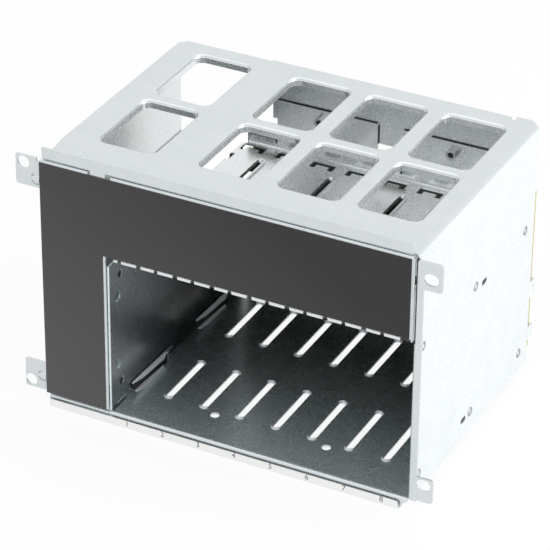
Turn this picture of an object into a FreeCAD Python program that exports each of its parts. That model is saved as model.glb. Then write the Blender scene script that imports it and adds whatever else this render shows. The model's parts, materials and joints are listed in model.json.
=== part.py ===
import FreeCAD, Part
import Sketcher
import math
import os
import re

# Hot swap cage for eight 2.5 inch drives: a bent outer shell, a left side panel,
# a front plate with a black fascia, a floor with a hemmed lip and a bay shelf,
# closed at the back by a backplane board. Millimetres, X right, Y to the back, Z up.

doc = FreeCAD.newDocument("DriveCage")
sheet = doc.addObject("Spreadsheet::Sheet", "Sizes")
sub_parts = []
sizes = {
    # sheet metal
    "gauge": 1.0,
    "bend_inside": 0.8,
    "tight_inside": 0.4,
    "ear_inside": 2.0,
    # whole box, measured from the lower left corner of the black fascia
    "cage_width": 171.35,
    "cage_top": 114.6,
    "floor_drop": 1.9,
    "lip_drop": 6.0,
    "apron_back": 125.4,
    # top plate
    "top_back_inset": 2.3,
    "corner_step": 1.0,
    "corner_step_back": 11.0,
    "corner_step_end": 18.0,
    "upstand_left": 1.3,
    "upstand_right_inset": 2.15,
    "upstand_rise": 5.0,
    "tab_left": 24.1,
    "tab_right": 31.1,
    "tab_drop": 1.8,
    "apron_left": 44.8,
    "apron_right_inset": 13.75,
    "apron_drop": 28.4,
    "relief_width": 2.4,
    "heel_inset": 0.3,
    "heel_cut": 4.5,
    # drawn windows in the top plate
    "window_centre": 74.1,
    "window_pitch": 36.15,
    "window_width": 30.4,
    "window_front": 23.4,
    "window_length": 43.9,
    "window_row_pitch": 48.1,
    "small_window_left": 12.1,
    "small_window_right": 41.2,
    "window_corner": 5.0,
    "draw_radius": 1.2,
    "draw_depth": 3.8,
    # right side
    "wall_back_inset": 3.6,
    "hook_reach": 1.1,
    "hook_low": 8.4,
    "hook_low_height": 6.6,
    "hook_high": 30.0,
    "hook_high_height": 8.0,
    "flange_reach": 2.85,
    "flange_foot": -0.8,
    "flange_drop": 1.6,
    "right_ear_reach": 10.95,
    "right_ear_height": 12.8,
    "right_low_ear_reach": 10.25,
    "right_low_ear_top": 11.5,
    "ear_corner": 1.0,
    "ear_slot_reach": 6.0,
    "ear_slot_rise": 5.0,
    "ear_slot_low": 8.1,
    "ear_slot_half": 2.65,
    "ear_slot_run": 1.0,
    "sight_hole_half": 1.3,
    "sight_hole_run": 2.2,
    "sight_high_y": 69.3,
    "sight_high_drop": 4.8,
    "sight_low_y": 53.4,
    "sight_low_z": 6.9,
    # left side panel
    "left_back_inset": 5.4,
    "left_flange_width": 10.0,
    "left_flange_front": 16.0,
    "left_flange_back_inset": 9.4,
    "left_ear_out": 12.0,
    "left_low_ear_out": 11.0,
    "left_ear_drop": 1.2,
    "left_ear_height": 14.0,
    "left_low_ear_top": 13.9,
    "ear_relief": 0.5,
    "ear_hole_x": 8.25,
    "ear_hole_drop": 3.4,
    "ear_hole_low": 3.4,
    "ear_hole_radius": 2.8,
    "gusset_leg": 4.6,
    "gusset_width": 2.6,
    "gusset_rise": 4.1,
    "gusset_low": 8.1,
    # front plate and fascia
    "plate_right_inset": 1.75,
    "plate_opening_left": 30.3,
    "opening_rise": 3.6,
    "plate_tab_gap_left": 22.8,
    "plate_tab_gap_right": 33.5,
    "plate_flange_depth": 13.0,
    "plate_flange_left": 11.0,
    "plate_flange_right_inset": 5.35,
    "film": 0.35,
    "film_inset": 0.8,
    "film_drop": 2.2,
    "film_opening_left": 29.2,
    # floor
    "lip_left": 1.2,
    "lip_right_inset": 1.15,
    "lip_slant": 2.8,
    "leaf_left": 2.1,
    "leaf_right_inset": 4.35,
    "leaf_top": 1.9,
    "leaf_gap": 0.6,
    "leaf_corner": 2.0,
    "floor_side_height": 12.0,
    "floor_side_front": 4.5,
    "side_back_inset": 7.4,
    "floor_foot_left": 6.0,
    "floor_foot_right_inset": 6.35,
    "floor_tab_first": 60.0,
    "floor_tab_pitch": 70.0,
    "floor_tab_width": 15.0,
    "floor_tab_top": 10.5,
    # guide slots in the floor and the shelf
    "bay_pitch": 17.2,
    "first_bay": 38.6,
    "slot_offset": 8.55,
    "slot_half": 1.45,
    "slot_front": 21.4,
    "slot_length": 32.0,
    "slot_row_pitch": 55.8,
    "slot_edge": 0.35,
    "slot_rim": 0.8,
    "slot_rim_height": 0.9,
    "floor_hole_radius": 2.0,
    "floor_hole_first": 71.75,
    "floor_hole_second": 124.55,
    "floor_hole_y": 18.6,
    # teeth along the front of the bay shelf, each measured from its bay's middle
    "tooth_front": 3.3,
    "tooth_rise": 0.6,
    "wide_tooth_left": 2.6,
    "wide_tooth_right": 4.4,
    "narrow_tooth_left": 6.7,
    "narrow_tooth_right": 12.8,
    "tooth_slant": 1.2,
    # bay shelf
    "shelf_under": 71.2,
    "shelf_front": 5.0,
    "shelf_side_drop": 9.2,
    "shelf_rear_left": 33.4,
    "shelf_rear_right_inset": 2.35,
    "shelf_rear_rise": 3.6,
    "rear_tab_first": 47.5,
    "rear_tab_pitch": 62.9,
    "rear_tab_width": 48.8,
    "rear_tab_rise": 4.8,
    "rear_tab_step": 2.0,
    "rear_tab_step_drop": 3.3,
    "vent_width": 11.2,
    "vent_depth": 6.2,
    "vent_back_gap": 0.1,
    "vent_bar": 3.4,
    "vent_leg": 2.6,
    # guide wall
    "guide_wall": 30.6,
    "guide_back_inset": 4.4,
    "guide_bend_gap_front": 104.0,
    "guide_bend_gap_back": 110.0,
    "guide_foot_width": 9.0,
    "guide_cut_low": 0.6,
    "guide_cut_high": 2.7,
    "guide_lip_height": 1.4,
    "guide_lip_out": 0.7,
    "guide_hole_radius": 1.6,
    "guide_slot_radius": 2.2,
    "guide_hole_y": 9.4,
    "guide_slot_y": 7.9,
    "guide_hole_drop": 8.4,
    "guide_slot_drop": 18.3,
    "guide_hole_low": 9.9,
    "guide_slot_low": 19.8,
    "guide_sill": 0.6,
    "guide_sill_run": 8.0,
    # fasteners
    "nut_inset": 21.7,
    "nut_rise": 5.1,
    "nut_radius": 2.4,
    "nut_length": 3.0,
    "screw_radius": 1.5,
    "screw_play": 0.15,
    "screw_head_radius": 2.7,
    "screw_head_height": 1.6,
    # backplane
    "board_left": 32.4,
    "board_right_inset": 1.15,
    "board_foot": 3.4,
    "board_gap": 5.2,
    "board_thickness": 1.6,
    "board_notch_low": 50.0,
    "board_notch_low_height": 6.0,
    "board_notch_low_depth": 1.8,
    "board_notch_high": 67.5,
    "board_notch_high_height": 2.0,
    "board_notch_high_depth": 2.6,
    "connector_centre": 36.0,
    "connector_height": 42.0,
    "connector_width": 6.0,
    "connector_depth": 10.0,
    "mouth_height": 33.0,
    "mouth_width": 3.4,
    "mouth_depth": 6.0,
    "tongue_width": 1.2,
    "key_width": 1.8,
    "key_height": 4.0,
    "receptacle_first": 60.0,
    "receptacle_pitch": 44.0,
    "receptacle_foot": 30.0,
    "receptacle_width": 24.0,
    "receptacle_height": 10.0,
    "receptacle_depth": 12.8,
    "header_left": 135.0,
    "header_foot": 54.0,
    "header_width": 22.0,
    "header_height": 9.0,
    "header_depth": 9.5,
    "header_pin_first": 3.1,
    "header_pin_pitch": 5.3,
    "shell_wall": 1.2,
    "board_screw_drop": 3.1,
    "board_screw_low": 7.0,
    "board_screw_inset": 7.5,
    "chip_left": 92.0,
    "chip_foot": 58.0,
    "chip_side": 14.0,
    "chip_height": 1.6,
}
for row, (alias, size) in enumerate(sizes.items(), 1):
    sheet.set("A%d" % row, alias)
    sheet.set("B%d" % row, str(size))
    sheet.setAlias("B%d" % row, alias)
doc.recompute()


# places that follow from the sizes, so that a change of one size carries its neighbours
places = {
    "bend_outside": "(bend_inside + gauge)",
    "tight_outside": "(tight_inside + gauge)",
    # across
    "wall_inner": "(cage_width - gauge)",
    "upstand_right": "(cage_width - upstand_right_inset)",
    "apron_right": "(cage_width - apron_right_inset)",
    "flange_right": "(cage_width + flange_reach)",
    "right_ear_out": "(cage_width + right_ear_reach)",
    "right_low_ear_out": "(cage_width + right_low_ear_reach)",
    "ear_slot_x": "(cage_width + ear_slot_reach)",
    "plate_right": "(cage_width - plate_right_inset)",
    "plate_flange_right": "(cage_width - plate_flange_right_inset)",
    "film_right": "(plate_right - film_inset)",
    "lip_right": "(cage_width - lip_right_inset)",
    "leaf_right": "(cage_width - leaf_right_inset)",
    "floor_foot_right": "(cage_width - floor_foot_right_inset)",
    "shelf_rear_right": "(cage_width - shelf_rear_right_inset)",
    "board_right": "(cage_width - board_right_inset)",
    "first_slot": "(first_bay + slot_offset)",
    "nut_first_x": "(rear_tab_first + nut_inset)",
    # upwards
    "top_under": "(cage_top - gauge)",
    "floor_under": "(-floor_drop)",
    "floor_upper": "(gauge - floor_drop)",
    "shelf_upper": "(shelf_under + gauge)",
    "upstand_top": "(cage_top + upstand_rise)",
    "tab_foot": "(cage_top - tab_drop)",
    "apron_foot": "(cage_top - apron_drop)",
    "flange_top": "(cage_top - flange_drop)",
    "right_ear_foot": "(flange_top - right_ear_height)",
    "ear_slot_high": "(right_ear_foot + ear_slot_rise)",
    "sight_high_z": "(shelf_under - sight_high_drop)",
    "left_ear_top": "(cage_top - left_ear_drop)",
    "left_ear_foot": "(left_ear_top - left_ear_height)",
    "ear_hole_high": "(left_ear_top - ear_hole_drop)",
    "gusset_high": "(left_ear_foot + gusset_rise)",
    "opening_top": "(shelf_upper + opening_rise)",
    "film_top": "(cage_top - film_drop)",
    "shelf_side_foot": "(shelf_under - shelf_side_drop)",
    "shelf_rear_top": "(shelf_upper + shelf_rear_rise)",
    "nut_z": "(apron_foot + nut_rise)",
    "rear_tab_top": "(nut_z + rear_tab_rise)",
    "rear_tab_step_foot": "(nut_z - rear_tab_step_drop)",
    "board_top": "(apron_foot - board_gap)",
    "board_screw_high": "(board_top - board_screw_drop)",
    # to the back
    "rear_plane": "(apron_back - gauge)",
    "top_back": "(apron_back - top_back_inset)",
    "wall_back": "(apron_back - wall_back_inset)",
    "heel_back": "(apron_back - heel_inset)",
    "hook_back": "(apron_back + hook_reach)",
    "left_back": "(apron_back - left_back_inset)",
    "left_flange_back": "(apron_back - left_flange_back_inset)",
    "side_back": "(apron_back - side_back_inset)",
    "guide_wall_back": "(apron_back - guide_back_inset)",
    "vent_back": "(guide_wall_back - vent_back_gap)",
    "vent_front": "(vent_back - vent_depth)",
    # how many fit
    "bay_count": "floor((cage_width - gauge * 2 - first_bay + bay_pitch / 2) / bay_pitch)",
    "window_columns": "floor((cage_width - window_centre + window_width / 2) / window_pitch)",
    "window_rows": "floor((wall_back - window_front) / window_row_pitch)",
}


# a size is read from the sheet, a place is written out in full
def bound(text):
    return re.sub(r"[a-z][a-z_]*", lambda found: spelled(found.group(0)), str(text))


def spelled(word):
    if word in sizes:
        return "Sizes." + word
    return bound(places[word]) if word in places else word


def number(text):
    return float(sheet.evalExpression(bound(text)))


def spot(across, up):
    return FreeCAD.Vector(number(across), number(up), 0)


# every sub-part shares one offset, which puts the middle of the cage's foot at the origin
offset_x = "(left_ear_out - right_ear_out) / 2"
front_most = "leaf_gap + gauge"
back_most = "(apron_back - gauge + board_thickness + receptacle_depth)"
offset_y = "(%s - %s) / 2" % (front_most, back_most)
offset_z = "lip_drop"


def seat(thing):
    thing.setExpression("Placement.Base.x", bound(offset_x))
    thing.setExpression("Placement.Base.y", bound(offset_y))
    thing.setExpression("Placement.Base.z", bound(offset_z))
    sub_parts.append(thing)


def new_body(label):
    body = doc.addObject("PartDesign::Body", label)
    body.Label = label
    seat(body)
    return body


def origin_item(body, role):
    for item in body.Origin.OriginFeatures:
        if item.Role == role:
            return item
    return None


# a sketch seen from the top, the front or the side, at a level along Z, Y or X
view_planes = {"top": "XY_Plane", "front": "XZ_Plane", "side": "YZ_Plane"}


def new_sketch(body, name, view, level):
    sketch = body.newObject("Sketcher::SketchObject", name)
    sketch.AttachmentSupport = (origin_item(body, view_planes[view]), [""])
    sketch.MapMode = "FlatFace"
    sign = "-" if view == "front" else ""
    sketch.setExpression("AttachmentOffset.Base.z", bound("%s(%s)" % (sign, level)))
    sketch.addProperty("App::PropertyString", "View")
    sketch.View = view
    return sketch


def pin(sketch, shape, point, across, up):
    for kind, text in (("DistanceX", across), ("DistanceY", up)):
        rule = Sketcher.Constraint(kind, -1, 1, shape, point, number(text))
        index = sketch.addConstraint(rule)
        sketch.setExpression("Constraints[%d]" % index, bound(text))


def outline(sketch, corners):
    first = sketch.GeometryCount
    count = len(corners)
    spots = [spot(across, up) for across, up in corners]
    for i in range(count):
        sketch.addGeometry(Part.LineSegment(spots[i], spots[(i + 1) % count]), False)
    for i in range(count):
        after = first + (i + 1) % count
        sketch.addConstraint(Sketcher.Constraint("Coincident", first + i, 2, after, 1))
        pin(sketch, first + i, 1, corners[i][0], corners[i][1])


def box(sketch, left, low, right, high):
    outline(sketch, [(left, low), (right, low), (right, high), (left, high)])


def clipped(sketch, left, low, right, high, size):
    outline(sketch, [(left + " + " + size, low), (right + " - " + size, low),
                     (right, low + " + " + size), (right, high + " - " + size),
                     (right + " - " + size, high), (left + " + " + size, high),
                     (left, high + " - " + size), (left, low + " + " + size)])


def arc(sketch, across, up, radius, start):
    circle = Part.Circle(spot(across, up), FreeCAD.Vector(0, 0, 1), number(radius))
    sketch.addGeometry(Part.ArcOfCircle(circle, start, start + math.pi / 2), False)


def rounded(sketch, left, low, right, high, radius):
    first = sketch.GeometryCount
    inner_left = "%s + %s" % (left, radius)
    inner_right = "%s - %s" % (right, radius)
    inner_low = "%s + %s" % (low, radius)
    inner_high = "%s - %s" % (high, radius)
    centres = [(inner_right, inner_high), (inner_left, inner_high)]
    centres += [(inner_left, inner_low), (inner_right, inner_low)]
    for i, centre in enumerate(centres):
        arc(sketch, centre[0], centre[1], radius, i * math.pi / 2)
    for i in range(4):
        start = sketch.getPoint(first + i, 2)
        end = sketch.getPoint(first + (i + 1) % 4, 1)
        sketch.addGeometry(Part.LineSegment(start, end), False)
    for i in range(4):
        side = first + 4 + i
        after = first + (i + 1) % 4
        sketch.addConstraint(Sketcher.Constraint("Tangent", first + i, 2, side, 1))
        sketch.addConstraint(Sketcher.Constraint("Tangent", side, 2, after, 1))
        pin(sketch, first + i, 3, centres[i][0], centres[i][1])
    index = sketch.addConstraint(Sketcher.Constraint("Radius", first, number(radius)))
    sketch.setExpression("Constraints[%d]" % index, bound(radius))
    for i in range(1, 4):
        sketch.addConstraint(Sketcher.Constraint("Equal", first, first + i))


# an obround whose end centres lie run apart, upright when tall, otherwise lying
def obround(sketch, across, up, run, half, tall):
    first = sketch.GeometryCount
    reach = "(%s) / 2" % run
    radius = number(half)
    if tall:
        ends = [(across, "%s + %s" % (up, reach)), (across, "%s - %s" % (up, reach))]
        turn = 0
    else:
        ends = [("%s + %s" % (across, reach), up), ("%s - %s" % (across, reach), up)]
        turn = -math.pi / 2
    up_axis = FreeCAD.Vector(0, 0, 1)
    for i in range(2):
        circle = Part.Circle(spot(ends[i][0], ends[i][1]), up_axis, radius)
        start = turn + i * math.pi
        sketch.addGeometry(Part.ArcOfCircle(circle, start, start + math.pi), False)
    for i in range(2):
        start = sketch.getPoint(first + i, 2)
        end = sketch.getPoint(first + 1 - i, 1)
        sketch.addGeometry(Part.LineSegment(start, end), False)
    for i in range(2):
        side = first + 2 + i
        sketch.addConstraint(Sketcher.Constraint("Tangent", first + i, 2, side, 1))
        sketch.addConstraint(Sketcher.Constraint("Tangent", side, 2, first + 1 - i, 1))
        pin(sketch, first + i, 3, ends[i][0], ends[i][1])
    index = sketch.addConstraint(Sketcher.Constraint("Radius", first, radius))
    sketch.setExpression("Constraints[%d]" % index, bound(half))
    sketch.addConstraint(Sketcher.Constraint("Equal", first, first + 1))


# the same upright outline with each end in four chords, for the many guide slots
def chorded(sketch, across, up, run, half):
    corners = []
    for end, sign in ((0, "+"), (1, "-")):
        for i in range(5):
            angle = math.pi * (end + i / 4.0)
            side = "%s + (%s) * %.4f" % (across, half, math.cos(angle))
            rise = "%s %s (%s) / 2 + (%s) * %.4f" % (up, sign, run, half, math.sin(angle))
            corners.append((side, rise))
    outline(sketch, corners)


def circle(sketch, across, up, radius):
    index = sketch.GeometryCount
    up_axis = FreeCAD.Vector(0, 0, 1)
    sketch.addGeometry(Part.Circle(spot(across, up), up_axis, number(radius)), False)
    pin(sketch, index, 3, across, up)
    rule = sketch.addConstraint(Sketcher.Constraint("Radius", index, number(radius)))
    sketch.setExpression("Constraints[%d]" % rule, bound(radius))


# a pad or a pocket always runs from the sketch's level towards plus Z, Y or X
def pad(body, sketch, length):
    feature = body.newObject("PartDesign::Pad", sketch.Name + "Pad")
    feature.Profile = sketch
    feature.setExpression("Length", bound(length))
    feature.Reversed = sketch.View == "front"
    return feature


def cut(body, sketch, length):
    feature = body.newObject("PartDesign::Pocket", sketch.Name + "Cut")
    feature.Profile = sketch
    feature.setExpression("Length", bound(length))
    feature.Reversed = sketch.View != "front"
    return feature


def repeat(body, name, originals, axis, pitch, count):
    pattern = body.newObject("PartDesign::LinearPattern", name)
    pattern.Originals = originals
    pattern.Direction = (origin_item(body, axis), [""])
    pattern.setExpression("Length", bound("%s * (%s - 1)" % (pitch, count)))
    pattern.setExpression("Occurrences", bound(count))
    body.Tip = pattern
    return pattern


def repeat_both_ways(body, name, originals, across, deep):
    grid = body.newObject("PartDesign::MultiTransform", name)
    grid.Originals = originals
    steps = []
    for axis, (pitch, count) in (("X_Axis", across), ("Y_Axis", deep)):
        step = body.newObject("PartDesign::LinearPattern", name + axis)
        step.Direction = (origin_item(body, axis), [""])
        step.setExpression("Length", bound("%s * (%s - 1)" % (pitch, count)))
        step.setExpression("Occurrences", bound(count))
        steps.append(step)
    grid.Transformations = steps
    body.Tip = grid
    return grid


# the two directions across each axis, in the order used for a bend line's place
across_axis = {"X": ("y", "z"), "Y": ("x", "z"), "Z": ("x", "y")}


def lies_on(edge, axis, first, second):
    if edge.Curve.TypeId != "Part::GeomLine":
        return False
    one, two = across_axis[axis]
    for point in (edge.Vertexes[0].Point, edge.Vertexes[-1].Point):
        if abs(getattr(point, one) - first) > 1e-4:
            return False
        if abs(getattr(point, two) - second) > 1e-4:
            return False
    return True


def dress(body, kind, name, size, wanted, size_two=None):
    doc.recompute()
    base = body.Tip
    names = []
    local = base.Shape.copy()
    for i, edge in enumerate(local.Edges):
        if wanted(edge):
            names.append("Edge%d" % (i + 1))
    if not names:
        raise ValueError("no edge found for " + name)
    feature = body.newObject("PartDesign::" + kind, name)
    feature.Base = (base, names)
    feature.setExpression("Radius" if kind == "Fillet" else "Size", bound(size))
    if size_two:
        feature.ChamferType = "Two distances"
        feature.setExpression("Size2", bound(size_two))
    return feature


# rounds every straight edge on one of the stated bend lines that is no longer than longest
def bend(body, name, axis, places, radius, longest="cage_width"):
    lines = [(number(first), number(second)) for first, second in places]
    limit = number(longest)
    dress(body, "Fillet", name, radius, lambda edge: on_any(edge, axis, lines, limit))


def on_any(edge, axis, lines, limit):
    if edge.Length > limit:
        return False
    return any(lies_on(edge, axis, first, second) for first, second in lines)


def flat_ring(edge, level, left, right):
    bounds = edge.BoundBox
    flat = abs(bounds.ZMin - level) < 1e-4 and abs(bounds.ZMax - level) < 1e-4
    return flat and bounds.XMin > left and bounds.XMax < right


def top_plate_corners():
    fold = "cage_width - bend_outside"
    corners = [("0", "corner_step_end"), ("corner_step", "corner_step_back")]
    corners += [("corner_step", "bend_outside"), (fold, "bend_outside")]
    corners += [(fold, "heel_back - heel_cut / 2"), ("cage_width - heel_cut", "heel_back")]
    corners += [("apron_right + relief_width", "heel_back")]
    corners += [("apron_right + relief_width", "wall_back")]
    corners += [("apron_right", "wall_back"), ("apron_right", "top_back")]
    corners += [("corner_step * 3", "top_back"), ("0", "top_back - corner_step * 3")]
    return corners


def make_windows(body):
    inner_front = "window_front + draw_radius"
    inner_back = "window_front + window_length - draw_radius"
    inner_left = "window_centre - window_width / 2 + draw_radius"
    inner_right = "window_centre + window_width / 2 - draw_radius"
    small_left = "small_window_left + draw_radius"
    small_right = "small_window_right - draw_radius"
    radius = "(window_corner - draw_radius)"
    rim_cut = "(window_corner - draw_radius) * 0.586"
    rows = ("window_row_pitch", "window_rows")
    for name, left, right in (("Wide", inner_left, inner_right), ("Small", small_left, small_right)):
        rim = new_sketch(body, name + "Rim", "top", "cage_top - draw_depth")
        clipped(rim, left + " - gauge", inner_front + " - gauge", right + " + gauge",
                inner_back + " + gauge", rim_cut)
        rim_pad = pad(body, rim, "draw_depth - gauge / 2")
        hole = new_sketch(body, name + "Opening", "top", "cage_top - draw_depth")
        rounded(hole, left, inner_front, right, inner_back, radius)
        pair = [rim_pad, cut(body, hole, "draw_depth")]
        if name == "Wide":
            repeat_both_ways(body, "WideWindows", pair, ("window_pitch", "window_columns"),
                             rows)
        else:
            repeat(body, "SmallWindows", pair, "Y_Axis", rows[0], rows[1])
        doc.recompute()
    # the drawn edge rounds over in two facets that touch a quarter circle
    level = number("cage_top")
    dress(body, "Chamfer", "DrawnTop", "draw_radius",
          lambda edge: window_ring(edge, level), "draw_radius * 0.414")
    lower = number("cage_top - draw_radius * 0.414")
    dress(body, "Chamfer", "DrawnWall", "draw_radius * 0.317",
          lambda edge: window_ring(edge, lower), "draw_radius * 0.586")


def window_ring(edge, level):
    left = number("small_window_left")
    right = number("cage_width - bend_inside - gauge")
    front = number("window_front")
    back = number("wall_back - gauge")
    bounds = edge.BoundBox
    return flat_ring(edge, level, left, right) and bounds.YMin > front and bounds.YMax < back


def make_outer_shell():
    body = new_body("outer_shell")
    plate = new_sketch(body, "TopPlate", "top", "top_under")
    outline(plate, top_plate_corners())
    pad(body, plate, "gauge")
    wall = new_sketch(body, "RightWall", "side", "wall_inner")
    fold_foot = "cage_top - bend_outside"
    edge = [("bend_outside", "floor_under"), ("wall_back", "floor_under")]
    for foot, height in (("hook_low", "hook_low_height"), ("hook_high", "hook_high_height")):
        edge += [("wall_back", foot), ("hook_back", foot)]
        edge += [("hook_back", "%s + %s" % (foot, height))]
        edge += [("wall_back", "%s + %s" % (foot, height))]
    edge += [("wall_back", fold_foot), ("bend_outside", fold_foot)]
    outline(wall, edge)
    wall_pad = pad(body, wall, "gauge")
    fold = new_sketch(body, "Fold", "front", "bend_outside")
    fold_left = "cage_width - bend_outside"
    outline(fold, [(fold_left, "top_under"), ("wall_inner", "top_under"), ("wall_inner", fold_foot),
                   ("cage_width", fold_foot), ("cage_width", "cage_top"), (fold_left, "cage_top")])
    pad(body, fold, "wall_back - bend_outside")
    bend(body, "FoldOutside", "Y", [("cage_width", "cage_top")], "bend_outside")
    bend(body, "FoldInside", "Y", [("wall_inner", "top_under")], "bend_inside")
    upstand = new_sketch(body, "Upstand", "side", "upstand_left")
    outline(upstand, [("0", "top_under"), ("bend_outside", "top_under"), ("bend_outside", "cage_top"),
                      ("gauge", "cage_top"), ("gauge", "upstand_top"), ("0", "upstand_top")])
    pad(body, upstand, "upstand_right - upstand_left")
    bend(body, "UpstandOutside", "X", [("0", "top_under")], "bend_inside + gauge * 0.99")
    bend(body, "UpstandInside", "X", [("gauge", "cage_top")], "bend_inside * 0.99")
    tab = new_sketch(body, "HangingTab", "front", "0")
    box(tab, "tab_left", "tab_foot", "tab_right", "cage_top + gauge")
    pad(body, tab, "gauge")
    apron = new_sketch(body, "Apron", "side", "apron_left")
    outline(apron, [("wall_back", "top_under"), ("rear_plane", "top_under"),
                    ("rear_plane", "apron_foot"), ("apron_back", "apron_foot"),
                    ("apron_back", "cage_top"), ("wall_back", "cage_top")])
    pad(body, apron, "apron_right - apron_left")
    bend(body, "ApronOutside", "X", [("apron_back", "cage_top")], "bend_outside")
    bend(body, "ApronInside", "X", [("rear_plane", "top_under")], "bend_inside")
    make_right_flange(body)
    make_windows(body)
    shell_holes(body)
    return body


def make_right_flange(body):
    knuckle = new_sketch(body, "FlangeKnuckle", "top", "flange_foot")
    outer_end = "cage_width + bend_inside"
    outline(knuckle, [("wall_inner", "0"), (outer_end, "0"), (outer_end, "gauge"),
                      ("cage_width", "gauge"), ("cage_width", "bend_outside"),
                      ("wall_inner", "bend_outside")])
    pad(body, knuckle, "flange_top - bend_inside - flange_foot")
    flange = new_sketch(body, "Flange", "front", "0")
    corners = [(outer_end, "flange_foot"), ("flange_right", "flange_foot"), ("flange_right", "0")]
    corners += [("right_low_ear_out - ear_corner", "0"), ("right_low_ear_out", "ear_corner")]
    corners += [("right_low_ear_out", "right_low_ear_top - ear_corner")]
    corners += [("right_low_ear_out - ear_corner", "right_low_ear_top")]
    corners += [("flange_right", "right_low_ear_top"), ("flange_right", "right_ear_foot")]
    corners += [("right_ear_out - ear_corner", "right_ear_foot")]
    corners += [("right_ear_out", "right_ear_foot + ear_corner")]
    corners += [("right_ear_out", "flange_top - ear_corner")]
    corners += [("right_ear_out - ear_corner", "flange_top"), (outer_end, "flange_top")]
    outline(flange, corners)
    pad(body, flange, "gauge")
    bend(body, "KnuckleOutside", "Z", [("wall_inner", "0")], "bend_inside + gauge * 0.99")
    bend(body, "KnuckleInside", "Z", [("cage_width", "gauge")], "bend_inside * 0.99")
    slots = new_sketch(body, "EarSlots", "front", "0")
    for height in ("ear_slot_high", "ear_slot_low"):
        obround(slots, "ear_slot_x", height, "ear_slot_run", "ear_slot_half", False)
    cut(body, slots, "gauge")


def shell_holes(body):
    side = new_sketch(body, "SightHoles", "side", "wall_inner")
    for deep, height in (("sight_high_y", "sight_high_z"), ("sight_low_y", "sight_low_z")):
        reach = "(sight_hole_half + sight_hole_run / 2)"
        clipped(side, "%s - %s" % (deep, reach), height + " - sight_hole_half",
                "%s + %s" % (deep, reach), height + " + sight_hole_half",
                "sight_hole_half * 0.6")
    cut(body, side, "gauge")
    back = new_sketch(body, "CoverScrewHoles", "front", "rear_plane")
    for i in range(2):
        across = "nut_first_x + rear_tab_pitch * %d" % i
        circle(back, across, "nut_z", "screw_radius + screw_play")
    cut(body, back, "gauge")


def make_left_side_panel():
    body = new_body("left_side_panel")
    ear_outside = "(ear_inside + gauge)"
    knee = "gauge + " + ear_outside
    fold_foot = "top_under - bend_outside"
    wall = new_sketch(body, "LeftWall", "side", "0")
    low = "left_low_ear_top + ear_relief"
    high = "left_ear_foot - ear_relief"
    outline(wall, [(knee, "floor_under"), ("left_back", "floor_under"), ("left_back", fold_foot),
                   (knee, fold_foot), (knee, high), ("gauge", high), ("gauge", low), (knee, low)])
    pad(body, wall, "gauge")
    fold = new_sketch(body, "TopFold", "front", "left_flange_front")
    outline(fold, [("0", fold_foot), ("gauge", fold_foot), ("gauge", "top_under - gauge"),
                   ("left_flange_width", "top_under - gauge"),
                   ("left_flange_width", "top_under"), ("0", "top_under")])
    pad(body, fold, "left_flange_back - left_flange_front")
    bend(body, "TopFoldOutside", "Y", [("0", "top_under")], "bend_inside + gauge * 0.99")
    bend(body, "TopFoldInside", "Y", [("gauge", "top_under - gauge")], "bend_inside * 0.99")
    ears = new_sketch(body, "Ears", "front", "gauge")
    box(ears, "-left_ear_out", "left_ear_foot", "-ear_inside", "left_ear_top")
    box(ears, "-left_low_ear_out", "0", "-ear_inside", "left_low_ear_top")
    pad(body, ears, "gauge")
    for name, foot, top in (("High", "left_ear_foot", fold_foot), ("Low", "0", "left_low_ear_top")):
        knuckle = new_sketch(body, name + "Knuckle", "top", foot)
        outline(knuckle, [("-ear_inside", "gauge"), ("gauge", "gauge"), ("gauge", knee),
                          ("0", knee), ("0", "gauge * 2"), ("-ear_inside", "gauge * 2")])
        pad(body, knuckle, "%s - (%s)" % (top, foot))
    bend(body, "EarOutside", "Z", [("gauge", "gauge")], "ear_inside + gauge * 0.99",
         "left_low_ear_top + gauge")
    bend(body, "EarInside", "Z", [("0", "gauge * 2")], "ear_inside * 0.99")
    corner = "ear_corner"
    bend(body, "EarCorners", "Y", [("-left_ear_out", "left_ear_top"),
                                   ("-left_ear_out", "left_ear_foot"), ("-left_low_ear_out", "0"),
                                   ("-left_low_ear_out", "left_low_ear_top")], corner)
    holes = new_sketch(body, "EarHoles", "front", "gauge")
    circle(holes, "-ear_hole_x", "ear_hole_high", "ear_hole_radius")
    circle(holes, "-ear_hole_x", "ear_hole_low", "ear_hole_radius")
    cut(body, holes, "gauge")
    for name, height in (("High", "gusset_high"), ("Low", "gusset_low")):
        make_gusset(body, name, height)
    return body


# a dart pressed across the bend: proud in the corner outside, hollow on the convex side
def make_gusset(body, name, height):
    dart = new_sketch(body, name + "Dart", "top", "%s - gusset_width / 2" % height)
    outline(dart, [("-gusset_leg", "gauge * 1.9"), ("gauge * 0.1", "gauge * 1.9"),
                   ("gauge * 0.1", "gauge * 2 + gusset_leg")])
    pad(body, dart, "gusset_width")
    hollow = new_sketch(body, name + "Hollow", "top", "%s - gusset_width / 4" % height)
    outline(hollow, [("gauge * 0.6 - gusset_leg", "0"), ("gauge * 2", "0"),
                     ("gauge * 2", "gauge * 1.4 + gusset_leg")])
    cut(body, hollow, "gusset_width / 2")


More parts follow.
